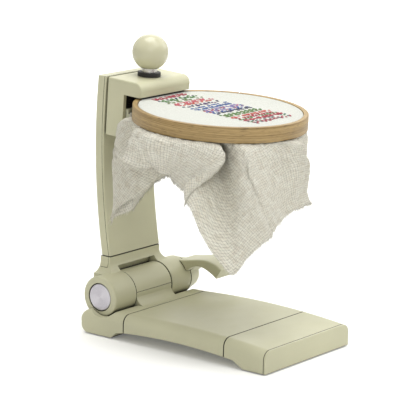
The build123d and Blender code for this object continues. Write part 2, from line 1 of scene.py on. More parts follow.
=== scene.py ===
import json
from math import cos, pi, radians, sin

import bpy
import numpy as np
from mathutils import Matrix, Vector


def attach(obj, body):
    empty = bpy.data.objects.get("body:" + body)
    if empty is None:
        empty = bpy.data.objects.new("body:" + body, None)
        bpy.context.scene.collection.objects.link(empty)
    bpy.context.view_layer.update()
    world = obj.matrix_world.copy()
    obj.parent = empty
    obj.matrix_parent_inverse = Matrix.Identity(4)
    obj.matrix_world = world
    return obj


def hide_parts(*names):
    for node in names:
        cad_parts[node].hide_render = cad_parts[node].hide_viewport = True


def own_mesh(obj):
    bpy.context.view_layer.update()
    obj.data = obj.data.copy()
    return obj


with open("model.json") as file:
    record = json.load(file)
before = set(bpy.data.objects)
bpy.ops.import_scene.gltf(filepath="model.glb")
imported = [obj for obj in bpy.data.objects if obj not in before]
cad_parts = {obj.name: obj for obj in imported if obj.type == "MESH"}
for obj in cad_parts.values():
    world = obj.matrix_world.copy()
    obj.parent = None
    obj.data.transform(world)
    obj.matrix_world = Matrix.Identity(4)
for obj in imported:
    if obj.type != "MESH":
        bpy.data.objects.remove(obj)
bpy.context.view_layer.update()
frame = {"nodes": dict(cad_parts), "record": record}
rng = np.random.default_rng(7)

# ---------------------------------------------------------------- driving dimensions, in metres
MM = 0.001
HINGE_Z = 0.041             # height of the hinge axis
HEAD_TILT = radians(3.2)    # the clamp head leans forward, and the hoop with it
HOOP_FORWARD = 0.123        # from the head's rear edge to the middle of the hoop
SCREW_FORWARD = 0.0215      # from the head's rear edge to the clamp screw
SPLIT_TURN = radians(25)    # where the outer ring is split and its hardware sits
HARDWARE_Z = -0.0266
HEAD = Matrix.Translation((0, 0.010, 0.283)) @ Matrix.Rotation(HEAD_TILT, 4, "X")
HOOP = HEAD @ Matrix.Translation((0, -HOOP_FORWARD, 0))
HARDWARE = HOOP @ Matrix.Translation((0, 0, HARDWARE_Z)) @ Matrix.Rotation(SPLIT_TURN, 4, "Z")
CLAMP = HEAD @ Matrix.Translation((0, -SCREW_FORWARD, 0))

# Heights in the hoop's own frame.
TOP = -0.0181
BOTTOM = -0.0351
HOOP_R = 0.095
INNER_R = 0.08894
RING_WALL = 0.0055
RING_EDGE_R = 0.0009
CLOTH_R = 0.0893            # where the cloth leaves the rings
CLOTH_THICK = 0.0004


# ---------------------------------------------------------------- mesh helpers
def transform(points, matrix):
    """Points (n, 3) moved by a 4x4 matrix."""
    m = np.array(matrix)
    return np.asarray(points) @ m[:3, :3].T + m[:3, 3]


def new_mesh(name, verts, faces, body, materials, uvs=None, face_mats=None, smooth=True):
    """Object from arrays. uvs holds one pair per vertex."""
    mesh = bpy.data.meshes.new(name)
    mesh.from_pydata([tuple(v) for v in verts], [], [tuple(f) for f in faces])
    if uvs is not None:
        layer = mesh.uv_layers.new(name="UVMap")
        index = np.zeros(len(mesh.loops), np.int32)
        mesh.loops.foreach_get("vertex_index", index)
        layer.data.foreach_set("uv", np.asarray(uvs, np.float32)[index].ravel())
    for m in materials:
        mesh.materials.append(m)
    if face_mats is not None:
        mesh.polygons.foreach_set("material_index", np.asarray(face_mats, np.int32))
    if smooth:
        mesh.shade_smooth()
    mesh.update()
    obj = bpy.data.objects.new(name, mesh)
    bpy.context.scene.collection.objects.link(obj)
    if body:
        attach(obj, body)
    return obj


def grid_faces(rows, cols, wrap_rows=False, wrap_cols=False):
    """Quads over a rows x cols lattice of vertices."""
    i = np.arange(rows if wrap_rows else rows - 1)
    j = np.arange(cols if wrap_cols else cols - 1)
    i, j = [a.ravel() for a in np.meshgrid(i, j, indexing="ij")]
    i2, j2 = (i + 1) % rows, (j + 1) % cols
    return np.stack([i * cols + j, i * cols + j2, i2 * cols + j2, i2 * cols + j], 1)


def tubes(paths, radius, sides=5, taper=None):
    """Round threads, open at their ends, along many paths (n, m, 3). Returns vertices and quads."""
    paths = np.asarray(paths, float)
    n, m, _ = paths.shape
    along = np.gradient(paths, axis=1)
    along /= np.linalg.norm(along, axis=2, keepdims=True) + 1e-12
    ref = np.where(np.abs(along[..., 2:3]) > 0.9, [1.0, 0, 0], [0, 0, 1.0])
    a = np.cross(along, ref)
    a /= np.linalg.norm(a, axis=2, keepdims=True) + 1e-12
    b = np.cross(along, a)
    turn = (np.arange(sides) * 2 * pi / sides)[:, None]
    r = np.broadcast_to(np.asarray(radius, float).reshape(-1, 1), (n, m)).copy()
    r *= np.ones(m) if taper is None else np.asarray(taper)
    ring = a[:, :, None] * np.cos(turn) + b[:, :, None] * np.sin(turn)
    verts = paths[:, :, None] + ring * r[:, :, None, None]
    one = grid_faces(m, sides, wrap_cols=True)
    faces = (one[None] + (np.arange(n) * m * sides)[:, None, None]).reshape(-1, 4)
    return verts.reshape(-1, 3), faces


def revolve(profile, steps, matrix, arc=(0.0, 2 * pi), closed=True):
    """Closed (r, z) profile turned about the local z axis. Returns vertices, quads and UVs in metres."""
    profile = np.asarray(profile, float)
    full = abs(arc[1] - arc[0] - 2 * pi) < 1e-6
    count = steps if full else steps + 1
    angle = arc[0] + (arc[1] - arc[0]) * np.arange(count) / steps
    r, z = profile[:, 0], profile[:, 1]
    x, y = np.outer(np.cos(angle), r), np.outer(np.sin(angle), r)
    pts = np.stack([x, y, np.broadcast_to(z, x.shape)], 2)
    length = np.concatenate([[0], np.cumsum(np.hypot(np.diff(r), np.diff(z)))])
    uv = np.stack(np.meshgrid(angle * r.mean(), length, indexing="ij"), 2)
    faces = grid_faces(count, len(profile), wrap_rows=full, wrap_cols=closed)
    return transform(pts.reshape(-1, 3), matrix), faces[:, ::-1], uv.reshape(-1, 2)


def rounded_box_profile(r_in, r_out, z_low, z_high, radius, steps=4):
    """Rectangle with rounded corners in the (r, z) plane."""
    corners = [(r_out, z_high, 0), (r_in, z_high, 90), (r_in, z_low, 180), (r_out, z_low, 270)]
    points = []
    for r, z, start in corners:
        cr = r - radius if r == r_out else r + radius
        cz = z - radius if z == z_high else z + radius
        for k in range(steps + 1):
            t = radians(start + 90 * k / steps)
            points.append((cr + radius * cos(t), cz + radius * sin(t)))
    return points


def merge(parts):
    """Joins (verts, faces) pairs into one."""
    verts, faces, shift = [], [], 0
    for v, f in parts:
        verts.append(v)
        faces += [tuple(int(i) + shift for i in face) for face in f]
        shift += len(v)
    return np.concatenate(verts), faces


# ---------------------------------------------------------------- materials
class Shader:
    """Thin wrapper that builds a node tree in few lines."""

    def __init__(self, name):
        self.mat = bpy.data.materials.new(name)
        self.mat.use_nodes = True
        self.tree = self.mat.node_tree
        self.bsdf = self.tree.nodes["Principled BSDF"]

    def node(self, kind, props=None, **inputs):
        n = self.tree.nodes.new("ShaderNode" + kind)
        for key, value in (props or {}).items():
            setattr(n, key, value)
        for key, value in inputs.items():
            self.put(n.inputs[key.replace("_", " ")], value)
        return n

    def put(self, socket, value):
        if isinstance(value, bpy.types.NodeSocket):
            self.tree.links.new(value, socket)
        else:
            socket.default_value = value

    def set(self, **inputs):
        for key, value in inputs.items():
            self.put(self.bsdf.inputs[key.replace("_", " ")], value)

    def coords(self, kind="Object"):
        return self.node("TexCoord").outputs[kind]

    def scaled(self, vector, scale):
        return self.node("Mapping", Vector=vector, Scale=scale).outputs[0]

    def noise(self, vector, scale, detail=2.0, rough=0.5):
        n = self.node("TexNoise", Vector=vector, Scale=scale, Detail=detail, Roughness=rough)
        return n.outputs["Fac"]

    def streaks(self, x, x_scale, y, y_scale, detail, rough=0.5, z=0.0):
        """Noise stretched by its own scale along each of two coordinates."""
        x, y = self.math("MULTIPLY", x, x_scale), self.math("MULTIPLY", y, y_scale)
        return self.noise(self.node("CombineXYZ", X=x, Y=y, Z=z).outputs[0], 1.0, detail, rough)

    def math(self, op, a, b=0.0, c=0.0):
        n = self.node("Math", {"operation": op})
        for socket, value in zip(n.inputs, (a, b, c)):
            self.put(socket, value)
        return n.outputs[0]

    def remap(self, value, low, high, to_low=0.0, to_high=1.0):
        n = self.node("MapRange", {"clamp": True}, Value=value, From_Min=low, From_Max=high)
        self.put(n.inputs["To Min"], to_low)
        self.put(n.inputs["To Max"], to_high)
        return n.outputs[0]

    def mix(self, factor, a, b):
        n = self.node("Mix", {"data_type": "RGBA"})
        self.put(n.inputs[0], factor)
        self.put(n.inputs[6], a)
        self.put(n.inputs[7], b)
        return n.outputs[2]

    def split(self, vector):
        return self.node("SeparateXYZ", Vector=vector).outputs

    def bump(self, height, strength, distance, normal=None):
        n = self.node("Bump", Height=height, Strength=strength, Distance=distance)
        if normal is not None:
            self.put(n.inputs["Normal"], normal)
        return n.outputs[0]


def rgb(r, g, b):
    """Linear colour from 0-255 sRGB values."""
    def lin(c):
        c /= 255
        return c / 12.92 if c <= 0.04045 else ((c + 0.055) / 1.055) ** 2.4
    return (lin(r), lin(g), lin(b), 1.0)


def shade(colour, factor):
    """The same hue, lighter or darker."""
    return tuple(min(1.0, c * factor) for c in colour[:3]) + (1.0,)


# Painted shadow in the gaps between mouldings: axis (1 is y, 2 is z), place, half width, and their ranges of
# y and z.
IN_BASE = (0.0, 0.036)
GAP_SHADOWS = [
    (1, -0.0420, 0.0007, (-0.05, -0.03), IN_BASE),
    (1, -0.1800, 0.0008, (-0.19, -0.17), IN_BASE),
    (1, -0.23235, 0.0005, (-0.24, -0.22), IN_BASE),
    (2, 0.0816, 0.0008, (-0.01, 0.04), (0.07, 0.09)),
]


def gap_shadow_mask(s, at):
    """1 on open surfaces, 0 where shadow is painted inside the gaps between mouldings."""
    x, y, z = s.split(at)
    clear = 1.0
    for axis, place, half, ys, zs in GAP_SHADOWS:
        off = s.math("ABSOLUTE", s.math("SUBTRACT", (x, y, z)[axis], place))
        away = s.remap(off, half * 0.7, half)
        for value, (low, high) in ((y, ys), (z, zs)):
            away = s.math("MAXIMUM", away, s.math("LESS_THAN", value, low))
            away = s.math("MAXIMUM", away, s.math("GREATER_THAN", value, high))
        clear = s.math("MULTIPLY", clear, away)
    return clear


def moulded(name, colour, rough=0.42, grain=1.0, coat=0.0):
    """Injection-moulded plastic: fine grain, faint flow marks, a slight change of tone, and painted shade in
    crevices and seam gaps.
    """
    s = Shader(name)
    at = s.coords()
    tone = s.noise(at, 9.0, 3.0)
    speck = s.noise(at, 900.0, 2.0)
    # Ambient occlusion, used to paint shade into crevices and seam gaps.
    crevice_shade = s.node("AmbientOcclusion", {"samples": 6}, Distance=0.005).outputs["AO"]
    dark = shade(colour, 0.90)
    base = s.mix(s.remap(tone, 0.3, 0.7), dark, shade(colour, 1.05))
    base = s.mix(s.remap(speck, 0.35, 0.75, 0.0, 0.18), base, dark)
    open_face = s.math("MULTIPLY", s.remap(crevice_shade, 0.28, 0.62), gap_shadow_mask(s, at))
    # Painted shade: near-black colour in crevices and inside the gaps between mouldings.
    base = s.mix(open_face, rgb(26, 25, 18), base)
    smudge = s.noise(at, 38.0, 4.0, 0.6)
    fine = s.bump(s.noise(at, 2600.0, 1.0), 0.16 * grain, 0.00010)
    wavy = s.bump(s.noise(at, 26.0, 1.0), 0.06 * grain, 0.002, fine)
    s.set(Base_Color=base, Normal=wavy)
    s.set(Roughness=s.remap(smudge, 0.3, 0.7, rough - 0.05, rough + 0.07))
    s.set(Specular_IOR_Level=0.45, Coat_Weight=coat, Coat_Roughness=0.2)
    return s.mat


def rubber():
    """Matt rubber with a fine pebbled face."""
    s = Shader("rubber")
    at = s.coords()
    dots = s.node("TexVoronoi", Vector=at, Scale=420.0).outputs["Distance"]
    s.set(Base_Color=s.mix(s.noise(at, 300.0), rgb(30, 30, 31), rgb(48, 48, 48)), Roughness=0.82)
    s.set(Normal=s.bump(dots, 0.5, 0.0004))
    return s.mat


def black_plastic():
    """Matt black moulding with a fine grain."""
    s = Shader("black_plastic")
    at = s.coords()
    s.set(Base_Color=s.mix(s.noise(at, 60.0, 3.0), rgb(22, 22, 23), rgb(40, 40, 41)), Roughness=0.5)
    s.set(Normal=s.bump(s.noise(at, 2200.0), 0.2, 0.0001))
    return s.mat


def steel(name, colour, rough, axis=2):
    """Drawn or plated metal with fine scratches along one axis."""
    s = Shader(name)
    stretch = [1.0, 1.0, 1.0]
    stretch[axis] = 0.03
    lines = s.noise(s.scaled(s.coords(), stretch), 2500.0, 3.0)
    patina = s.noise(s.coords(), 120.0, 4.0)
    s.set(Base_Color=s.mix(patina, colour, shade(colour, 0.8)), Metallic=1.0)
    s.set(Roughness=s.remap(lines, 0.2, 0.8, rough, rough + 0.15))
    s.set(Normal=s.bump(lines, 0.12, 0.0001))
    return s.mat


def turned_disc():
    """Lathe-turned aluminium: rings around the hinge axis and a soft cross sheen painted into the colour as
    a highlight.
    """
    s = Shader("turned_disc")
    _, y, z = s.split(s.coords())
    z = s.math("SUBTRACT", z, HINGE_Z)
    radius = s.math("SQRT", s.math("ADD", s.math("MULTIPLY", y, y), s.math("MULTIPLY", z, z)))
    angle = s.math("ARCTAN2", z, y)
    rings = s.streaks(radius, 5200.0, angle, 1.5, 3.0)
    # Painted highlight: the colour lightens toward near-white at some angles round the axis.
    sheen = s.math("POWER", s.math("ABSOLUTE", s.math("COSINE", s.math("ADD", angle, 0.5))), 3.0)
    tone = s.mix(s.remap(rings, 0.3, 0.7), rgb(176, 172, 180), rgb(206, 203, 210))
    tone = s.mix(s.math("MULTIPLY", sheen, 0.25), tone, rgb(240, 238, 242))
    s.set(Base_Color=tone, Metallic=0.9, Roughness=s.remap(rings, 0.2, 0.8, 0.34, 0.5))
    s.set(Normal=s.bump(rings, 0.25, 0.0001), Anisotropic=0.4)
    return s.mat


def beech(name, tint=1.0):
    """Bentwood beech: u runs round the hoop, v across the strip, both in metres."""
    s = Shader(name)
    u, v, _ = s.split(s.coords("UV"))
    wander = s.noise(s.node("CombineXYZ", X=s.math("MULTIPLY", u, 6.0), Y=0.3).outputs[0], 1.0, 2.0)
    across = s.math("ADD", v, s.math("MULTIPLY", wander, 0.009))
    bands = s.streaks(u, 3.0, across, 330.0, 4.0, 0.6)
    fibre = s.streaks(u, 60.0, across, 2600.0, 2.0)
    flecks = s.streaks(u, 95.0, v, 1150.0, 1.0)
    pale = rgb(186 * tint, 158 * tint, 106 * tint)
    mid = rgb(144 * tint, 117 * tint, 70 * tint)
    deep = rgb(72 * tint, 52 * tint, 32 * tint)
    wood = s.mix(s.remap(bands, 0.36, 0.62), mid, pale)
    wood = s.mix(s.remap(fibre, 0.5, 0.85, 0.0, 0.55), wood, deep)
    wood = s.mix(s.remap(flecks, 0.60, 0.70, 0.0, 0.75), wood, deep)
    height = s.math("ADD", s.math("MULTIPLY", fibre, 0.6), s.math("MULTIPLY", bands, 0.4))
    s.set(Base_Color=wood, Normal=s.bump(height, 0.28, 0.00025))
    s.set(Roughness=s.remap(bands, 0.3, 0.7, 0.42, 0.56))
    s.set(Coat_Weight=0.12, Coat_Roughness=0.35)
    return s.mat


def linen(name, light, dark, pitch, slub=1.0, see_through=0.25):
    """Plain weave from UVs in metres: threads pass over and under, and their thickness varies; shade is
    painted into the hollows between threads and into the folds.
    """
    s = Shader(name)
    u, v, _ = s.split(s.coords("UV"))

    def thread(across, along, seed):
        """Height, tone and thickness of the threads that lie side by side along the first coordinate."""
        tone = s.streaks(across, 0.9 / pitch, along, 0.27 / pitch, 2.0, z=0.9 * seed)
        slubs = s.streaks(across, 0.55 / pitch, along, 0.16 / pitch, 2.0, z=seed + 4)
        wobble = s.math("MULTIPLY", s.math("SUBTRACT", slubs, 0.5), 1.1)
        phase = s.math("ADD", s.math("MULTIPLY", across, pi / pitch), wobble)
        round_top = s.math("ABSOLUTE", s.math("SINE", phase))
        return round_top, tone, slubs

    warp, warp_tone, warp_slub = thread(u, v, 1.0)
    weft, weft_tone, weft_slub = thread(v, u, 9.0)
    waves = [s.math("SINE", s.math("MULTIPLY", c, pi / pitch)) for c in (u, v)]
    over = s.remap(s.math("MULTIPLY", *waves), -0.15, 0.15)
    under = s.math("SUBTRACT", 1.0, over)
    height = s.math("ADD", s.math("MULTIPLY", warp, over), s.math("MULTIPLY", weft, under))
    tones, coarse = s.math("ADD", warp_tone, weft_tone), s.math("ADD", warp_slub, weft_slub)
    tone = s.math("ADD", s.math("MULTIPLY", tones, 0.32), s.math("MULTIPLY", coarse, 0.22))
    speck = s.noise(s.coords("UV"), 0.8 / pitch, 3.0, 0.7)
    # Ambient occlusion, used to paint shade into the folds of the cloth.
    fold_shade = s.node("AmbientOcclusion", {"samples": 6}, Distance=0.016).outputs["AO"]
    cloth = s.mix(s.remap(tone, 0.38, 0.62), dark, light)
    # Painted shade: darker where the threads dip, in the hollows of the weave.
    cloth = s.mix(s.remap(height, 0.05, 0.70, 0.55 * slub, 0.0), cloth, shade(dark, 0.42))
    cloth = s.mix(s.remap(speck, 0.50, 0.72, 0.0, 0.30 * slub), cloth, shade(dark, 0.45))
    # Painted shade: darker in the folds.
    cloth = s.mix(s.remap(fold_shade, 0.15, 0.85, 0.45 * slub, 0.0), cloth, shade(dark, 0.35))
    relief = s.math("ADD", height, s.math("MULTIPLY", coarse, 0.9 * slub))
    normal = s.bump(relief, 0.55, pitch * 0.45)
    s.set(Base_Color=cloth, Roughness=0.9, Normal=normal, Specular_IOR_Level=0.2)
    s.set(Sheen_Weight=0.25, Sheen_Roughness=0.5)
    glow = s.node("BsdfTranslucent", Color=cloth, Normal=normal)
    blend = s.node("MixShader")
    s.put(blend.inputs[0], see_through)
    s.put(blend.inputs[1], s.bsdf.outputs[0])
    s.put(blend.inputs[2], glow.outputs[0])
    s.put(s.tree.nodes["Material Output"].inputs["Surface"], blend.outputs[0])
    return s.mat


def floss(name, colour):
    """Stranded cotton: soft sheen with fine twist."""
    s = Shader(name)
    at = s.coords()
    tone = s.noise(at, 1500.0, 2.0)
    s.set(Base_Color=s.mix(s.remap(tone, 0.3, 0.75), shade(colour, 0.55), colour))
    s.set(Roughness=0.55, Sheen_Weight=0.4)
    s.set(Normal=s.bump(s.noise(at, 6000.0), 0.3, 0.0001))
    return s.mat


SAGE = moulded("sage_plastic", rgb(198, 196, 166))
PALE = moulded("pale_green", rgb(205, 205, 180))
KNOB = moulded("knob_plastic", rgb(204, 201, 171), rough=0.24, grain=0.35, coat=0.35)
BLACK = black_plastic()
RUBBER = rubber()
ZINC = steel("zinc_steel", rgb(172, 172, 170), 0.32)
POLISHED = steel("polished_steel", rgb(214, 212, 208), 0.16)
BRASS = steel("brass", rgb(206, 170, 98), 0.24)
DISC = turned_disc()
WOOD = beech("beech")
WOOD_INNER = beech("beech_inner", 0.97)
GROUND = linen("drum_linen", rgb(226, 228, 221), rgb(212, 213, 205), 0.0008, slub=0.35, see_through=0.1)
NATURAL = linen("natural_linen", rgb(255, 253, 241), rgb(236, 230, 214), 0.0025)

SLOT_MATERIAL = {
    "green_plastic": SAGE,
    "pale_green_plastic": PALE,
    "knob_plastic": KNOB,
    "zinc_steel": ZINC,
    "brushed_aluminium": DISC,
    "polished_steel": POLISHED,
    "black_plastic": BLACK,
    "black_rubber": RUBBER,
    "brass": BRASS,
    "beech": WOOD_INNER,
    "stitched_linen": GROUND,
    "linen": NATURAL,
}


def dress_cad_nodes():
    """Each CAD node takes its slot's material and is shaded smooth up to its sharp edges."""
    for row in frame["record"]["subparts"]:
        obj = frame["nodes"][row["node"]]
        obj.data.materials.clear()
        obj.data.materials.append(SLOT_MATERIAL[row["material_slot"]])
        obj.data.shade_smooth()
        obj.data.set_sharp_from_angle(angle=radians(32))


# ---------------------------------------------------------------- hoop
def build_rings():
    """Bentwood rings: the outer one is split, the inner one sits a little lower under the cloth."""
    half_gap = 0.0006 / HOOP_R
    start = SPLIT_TURN + half_gap
    profile = rounded_box_profile(HOOP_R - RING_WALL, HOOP_R, BOTTOM, TOP, RING_EDGE_R)
    v, f, uv = revolve(profile, 256, HOOP, arc=(start, start + 2 * pi - 2 * half_gap))
    count = len(profile)
    first_end = tuple(range(count - 1, -1, -1))
    last_end = tuple(len(v) - count + i for i in range(count))
    f = [tuple(x) for x in f] + [last_end, first_end]
    outer = new_mesh("hoop_outer_ring", v, f, "hoop", [WOOD], uv)
    outer.data.set_sharp_from_angle(angle=radians(50))
    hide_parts("outer_ring")
    under_cloth = 0.00093
    profile = rounded_box_profile(INNER_R - RING_WALL, INNER_R, BOTTOM, TOP - under_cloth, RING_EDGE_R)
    v, f, uv = revolve(profile, 220, HOOP)
    inner = new_mesh("hoop_inner_ring", v, f, "hoop", [WOOD_INNER], uv)
    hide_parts("inner_ring")


def drum_height(x, y):
    """Slight give of the stretched cloth and faint pull lines near the rings."""
    r, a = np.hypot(x, y), np.arctan2(y, x)
    edge = np.clip((r - 0.06) / 0.027, 0, 1) ** 3
    pulls = np.sin(a * 23 + 1.3 * np.sin(a * 5)) * 0.00012 * edge
    give = -0.0005 * (1 - (r / 0.088) ** 2)
    return TOP - CLOTH_THICK + give + pulls


def build_drum():
    """Cloth over the inner ring and down between the rings."""
    rings, steps = 64, 240
    flat_r, bend_r = 0.0874, 0.0018
    r = np.linspace(0.0004, flat_r, rings)
    a = np.arange(steps) * 2 * pi / steps
    rr, aa = np.meshgrid(r, a, indexing="ij")
    x, y = rr * np.cos(aa), rr * np.sin(aa)
    top = np.stack([x, y, drum_height(x, y)], 2)
    bend = []
    for k in range(1, 6):
        t = radians(90 - 18 * k)
        bend.append((flat_r + bend_r * cos(t), TOP - CLOTH_THICK - bend_r + bend_r * sin(t)))
    bend += [(flat_r + bend_r, TOP - 0.006), (CLOTH_R, BOTTOM + 0.0005), (CLOTH_R, BOTTOM - 0.0002)]
    side = np.array([[(br * cos(t), br * sin(t), bz) for t in a] for br, bz in bend])
    pts = np.concatenate([top, side]).reshape(-1, 3)
    flat = np.concatenate([r, flat_r + np.cumsum([0.0006] * 5 + [0.004, 0.0105, 0.0007])])
    uv = np.stack([np.outer(flat, np.cos(a)), np.outer(flat, np.sin(a))], 2).reshape(-1, 2)
    faces = [tuple(q) for q in grid_faces(len(flat), steps, wrap_cols=True)]
    faces.append(tuple(range(steps)))
    pts = transform(pts, HOOP)
    obj = new_mesh("stretched_linen", pts, faces, "hoop", [GROUND], uv)
    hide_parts("cloth_drum")


# ---------------------------------------------------------------- embroidery
FLOSS = {
    "r": rgb(196, 38, 74), "p": rgb(226, 110, 130), "c": rgb(232, 96, 84), "g": rgb(86, 150, 66),
    "o": rgb(128, 150, 74), "b": rgb(62, 104, 186), "l": rgb(168, 146, 214), "n": rgb(44, 44, 96),
    "v": rgb(108, 62, 132), "s": rgb(120, 124, 132), "t": rgb(64, 140, 130),
}
# Sampler bands from the clamp side to the front: a motif repeats along each band.
BANDS = [
    ["rr.rr.", "rrrrrr", ".rr.rr"],
    ["......"],
    ["n..g..", ".ggg.n", "g.g.g.", ".ggg.."],
    ["..o...", "oo.oo."],
    ["......"],
    ["p.c.p.", ".ppp..", "pcpcp.", ".ppp.c"],
    ["cc.cc."],
    ["......"],
    ["n..v..", ".vnv.n", "..v..."],
    ["......"],
    ["bbbbbb", "......", "b.b.b.", "bbbbbb"],
    ["......"],
    ["l.n.l.", "lplpl.", ".lbl.p", "l.v.l.", "lplbl."],
    ["..b...", "nb.bn."],
    ["nn.nn.", ".n..n."],
    ["......"],
    ["g..o..", "gogog.", "..g..o", "ogogo."],
    ["......"],
    ["cc.c.c", "c.cc.c"],
    [".r...r", "rcr.rc", ".r.g.r", "g.g.g."],
    ["r.rr.r", "rrcrrc", ".rr.rr"],
    ["s..t..", ".g..s."],
    [".r..r.", "rsr.rs", ".r..r."],
]


def build_stitches():
    """Cross stitches in a band down the middle of the cloth, two raised threads per cell."""
    cell = 0.0024
    rows = [line for band in BANDS for line in band]
    cols = 25
    widen_every = 14        # the band grows by one stitch after so many rows
    left_open = 0.25        # share of the cells that stay unworked
    step = cell * 1.1
    y_first = 0.074
    half = cell * 0.43
    thread = 0.00036
    belly = (0.75, 1, 1.05, 1, 0.75)
    groups = {}
    for j, line in enumerate(rows):
        inset = int(rng.integers(0, 2))
        for i in range(inset, cols - inset + j // widen_every):
            key = line[i % len(line)]
            if key == "." or rng.random() < left_open:
                continue
            x = (i + 0.5 - cols / 2) * cell
            y = y_first - (j + 0.5) * step
            groups.setdefault(key, []).append((x, y))
    parts, mats, colours = [], [], []
    for index, (key, cells) in enumerate(sorted(groups.items())):
        centre = np.array(cells) + rng.normal(0, cell * 0.05, (len(cells), 2))
        for layer, (dx, dy) in enumerate(((1, 1), (1, -1))):
            t = np.linspace(-1, 1, 5)
            size = half * rng.uniform(0.9, 1.12, len(cells))
            px = centre[:, 0, None] + np.outer(size, t) * dx
            py = centre[:, 1, None] + np.outer(size, t) * dy
            lift = 0.00012 + (0.00030 + 0.00022 * layer) * (1 - t ** 4)
            path = np.stack([px, py, drum_height(px, py) + lift], 2)
            v, f = tubes(path, thread * rng.uniform(0.9, 1.1, len(cells)), 6, belly)
            parts.append((v, f))
            mats += [index] * len(f)
        colours.append(floss("floss_" + key, FLOSS[key]))
    v, f = merge(parts)
    v = transform(v, HOOP)
    new_mesh("cross_stitches", v, f, "hoop", colours, face_mats=mats)


# ---------------------------------------------------------------- hanging cloth
CLOTH_EDGES = (0.180, 0.152, 0.192, 0.118)      # from the hoop's middle to the back, left, front, right edge
CLOTH_TURN = radians(83)                        # direction in which the back edge faces
FRONT_CORNER = radians(218)
TUCKED = 0.017                                  # cloth used between the rings
VIEW_RIGHT = np.array([0.6136, -0.7896, 0.0])   # to the right, across the front corner
VIEW_NEAR = np.array([-0.7896, -0.6136, 0.0])   # outward through the front corner
SIDE_LIMIT = -102.5                             # the laid cloth keeps within this x, in millimetres
# Large folds: turn from the front corner in degrees, then millimetres to the right and toward the
# front corner, first halfway down and then at the hem.
FOLDS = [
    (-176, -6, -90, -8, -90), (-160, -28, -84, -26, -84), (-140, -50, -64, -44, -60),
    (-122, -68, -48, -62, -46), (-106, -90, -28, -92, -26), (-98, -103, -18, -108, -18),
    (-92, -106, -6, -113, -6), (-84, -104, -4, -90, -8), (-78, -96, -2, -66, -6),
    (-71, -82, 4, -40, 0), (-65, -80, 20, -62, 18), (-59, -90, 42, -98, 38),
    (-54, -102, 50, -106, 46), (-46, -80, 86, -76, 92), (-37, -52, 102, -50, 106),
    (-28, -28, 110, -46, 104), (-20, -6, 118, -42, 104), (-14, 7, 117, -36, 106),
    (-8, 7, 92, -33, 110), (-3, 2, 64, -31, 112), (2, 4, 64, -18, 116),
    (6, 15, 86, 20, 112), (10, 22, 104, 36, 108), (15, 31, 106, 53, 104),
    (20, 37, 94, 60, 100), (26, 50, 76, 65, 84), (32, 62, 64, 75, 66),
    (38, 78, 60, 92, 56), (46, 90, 56, 103, 44), (54, 86, 48, 88, 38),
    (62, 82, 38, 58, 30), (70, 84, 26, 40, 24), (77, 86, 16, 32, 14),
    (84, 88, 8, 58, 2), (90, 94, -2, 94, -4), (100, 93, -18, 93, -20),
    (110, 86, -32, 86, -33), (120, 78, -46, 78, -47), (135, 63, -64, 63, -65),
    (150, 45, -78, 45, -79), (165, 22, -88, 20, -89), (184, -6, -90, -8, -90),
]
# How far the cloth swells out below the ring: turn, spread in degrees, metres.
SWELL = 0.003
SWELLS = [(-92, 13, 0.008), (34, 24, 0.006), (-32, 16, 0.003)]
STEPS, RINGS = 216, 30          # simulated lattice
FINE_STEPS, FINE_RINGS = 540, 75
SIM = 10.0                      # the cloth is simulated at ten times its size
FRAMES = 30
HOLD = 0.75                     # how firmly the laid folds keep their place
JAW_FRONT = 0.0765              # front of the lower jaw in the hoop's frame


def turn_degrees(a):
    """Turn from the front corner, from -180 to 180 degrees."""
    return np.degrees((a + pi) % (2 * pi) - pi)


def hump(turn, middle, spread):
    """Smooth bump, 1 at its middle."""
    return np.exp(-((turn - middle) / spread) ** 2)


def cloth_lattice(steps, rings):
    """Flat pattern of the free cloth: turn from the front corner, length below the rings, UVs."""
    a = np.arange(steps) * 2 * pi / steps
    reach = np.full(steps, 9.0)
    for i, edge in enumerate(CLOTH_EDGES):
        facing = np.cos(a + FRONT_CORNER - CLOTH_TURN - i * pi / 2)
        reach = np.where(facing > 0.05, np.minimum(reach, edge / np.maximum(facing, 0.05)), reach)
    used = CLOTH_R + TUCKED
    t = np.linspace(0, 1, rings)
    drawn = 1 + 0.22 * hump(np.degrees(a), 280, 9)       # pulled longer at the left corner
    free = t[:, None] * ((reach - used) * drawn)[None, :]
    own = a + FRONT_CORNER - CLOTH_TURN
    r = used + free
    return a, free, np.stack([r * np.cos(own), r * np.sin(own)], 2)


def pinned_line(a):
    """Where the cloth leaves the hoop. At the clamp it is folded forward, clear of the lower jaw."""
    x, y = CLOTH_R * np.cos(a + FRONT_CORNER), CLOTH_R * np.sin(a + FRONT_CORNER)
    rear = np.clip((y - JAW_FRONT) / 0.002, 0, 1)
    y = np.minimum(y, JAW_FRONT)
    return np.stack([x, y, BOTTOM - 0.0001 - 0.0022 * rear], 1)


def fold_plan(turn):
    """Smoothed FOLDS, read at every turn: right and near halfway down, then at the hem, in millimetres."""
    key = np.array(FOLDS, float)
    for right, near in ((1, 2), (3, 4)):
        x = VIEW_RIGHT[0] * key[:, right] + VIEW_NEAR[0] * key[:, near]
        farthest = np.trunc((VIEW_RIGHT[0] * key[:, right] - SIDE_LIMIT) / -VIEW_NEAR[0])
        key[:, near] = np.where(x < SIDE_LIMIT, farthest, key[:, near])
    once_round = np.array([360, 0, 0, 0, 0])
    key = np.concatenate([key[-3:-1] - once_round, key, key[1:3] + once_round])
    dense = np.arange(-200, 208, 0.5)
    kernel = np.exp(-0.5 * (np.arange(-12, 13) / 2.8) ** 2)
    kernel /= kernel.sum()
    smooth = [np.convolve(np.interp(dense, key[:, 0], column), kernel, "same") for column in key.T[1:]]
    return [np.interp(turn, dense, column) for column in smooth]


